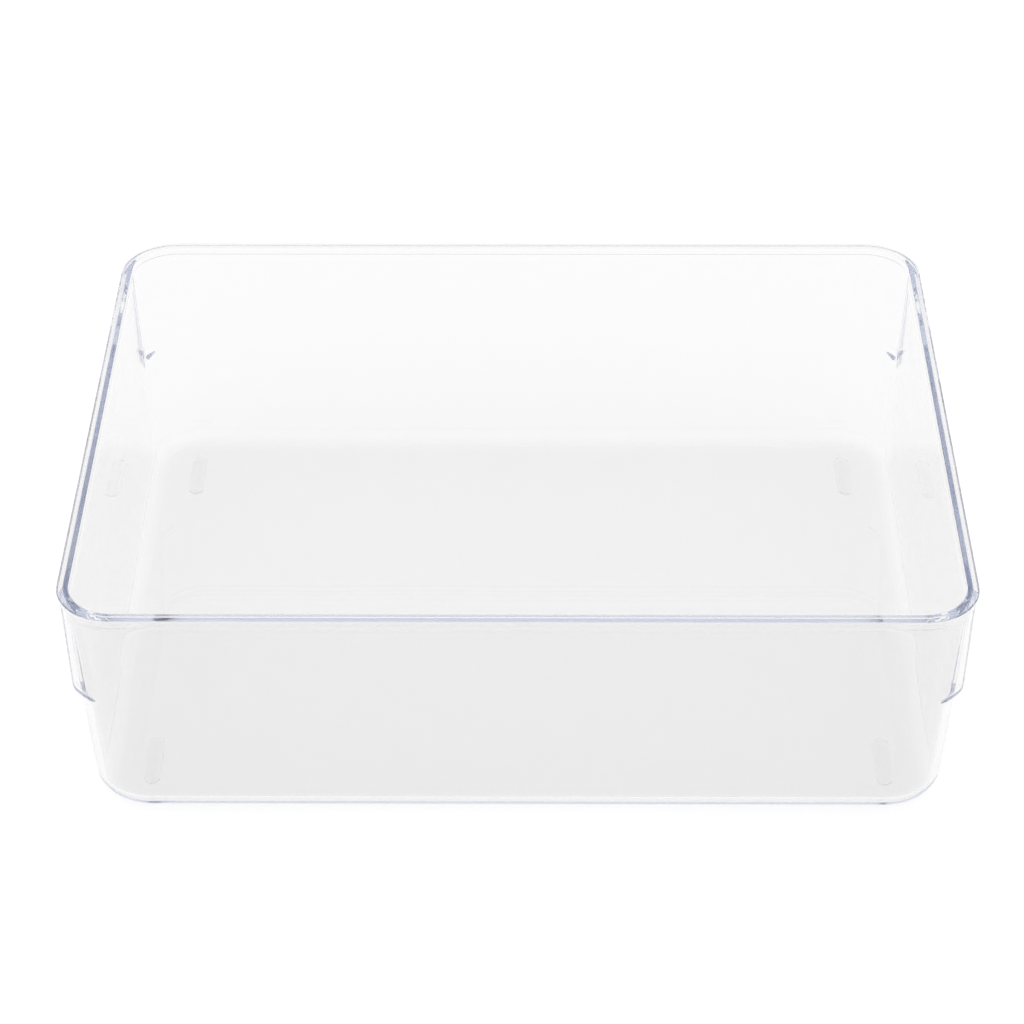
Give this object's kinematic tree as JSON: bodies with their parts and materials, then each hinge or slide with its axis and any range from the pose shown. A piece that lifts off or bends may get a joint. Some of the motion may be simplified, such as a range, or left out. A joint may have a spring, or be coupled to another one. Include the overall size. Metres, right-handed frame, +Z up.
{
  "type": "fridge bin",
  "caption": "Clear, open-topped rectangular refrigerator bin with drafted walls, a beaded rim, hollow corner lugs and small oblong feet.",
  "frame": {"origin": "centre of the bin's footprint, on the surface that the feet stand on", "axes": "+X along the long side, to the right as seen from the front; +Y from the front to the back; +Z up"},
  "size_m": [0.254, 0.195, 0.075],
  "materials": {
    "clear_plastic": "polished, crystal clear with a faint cool tint in the thick rim",
    "soft_clear_rubber": "satin, translucent"
  },
  "bodies": {
    "root": {"bin_body": "clear_plastic", "foot_front_left": "soft_clear_rubber", "foot_front_right": "soft_clear_rubber", "foot_back_left": "soft_clear_rubber", "foot_back_right": "soft_clear_rubber"}
  },
  "joints": []
}
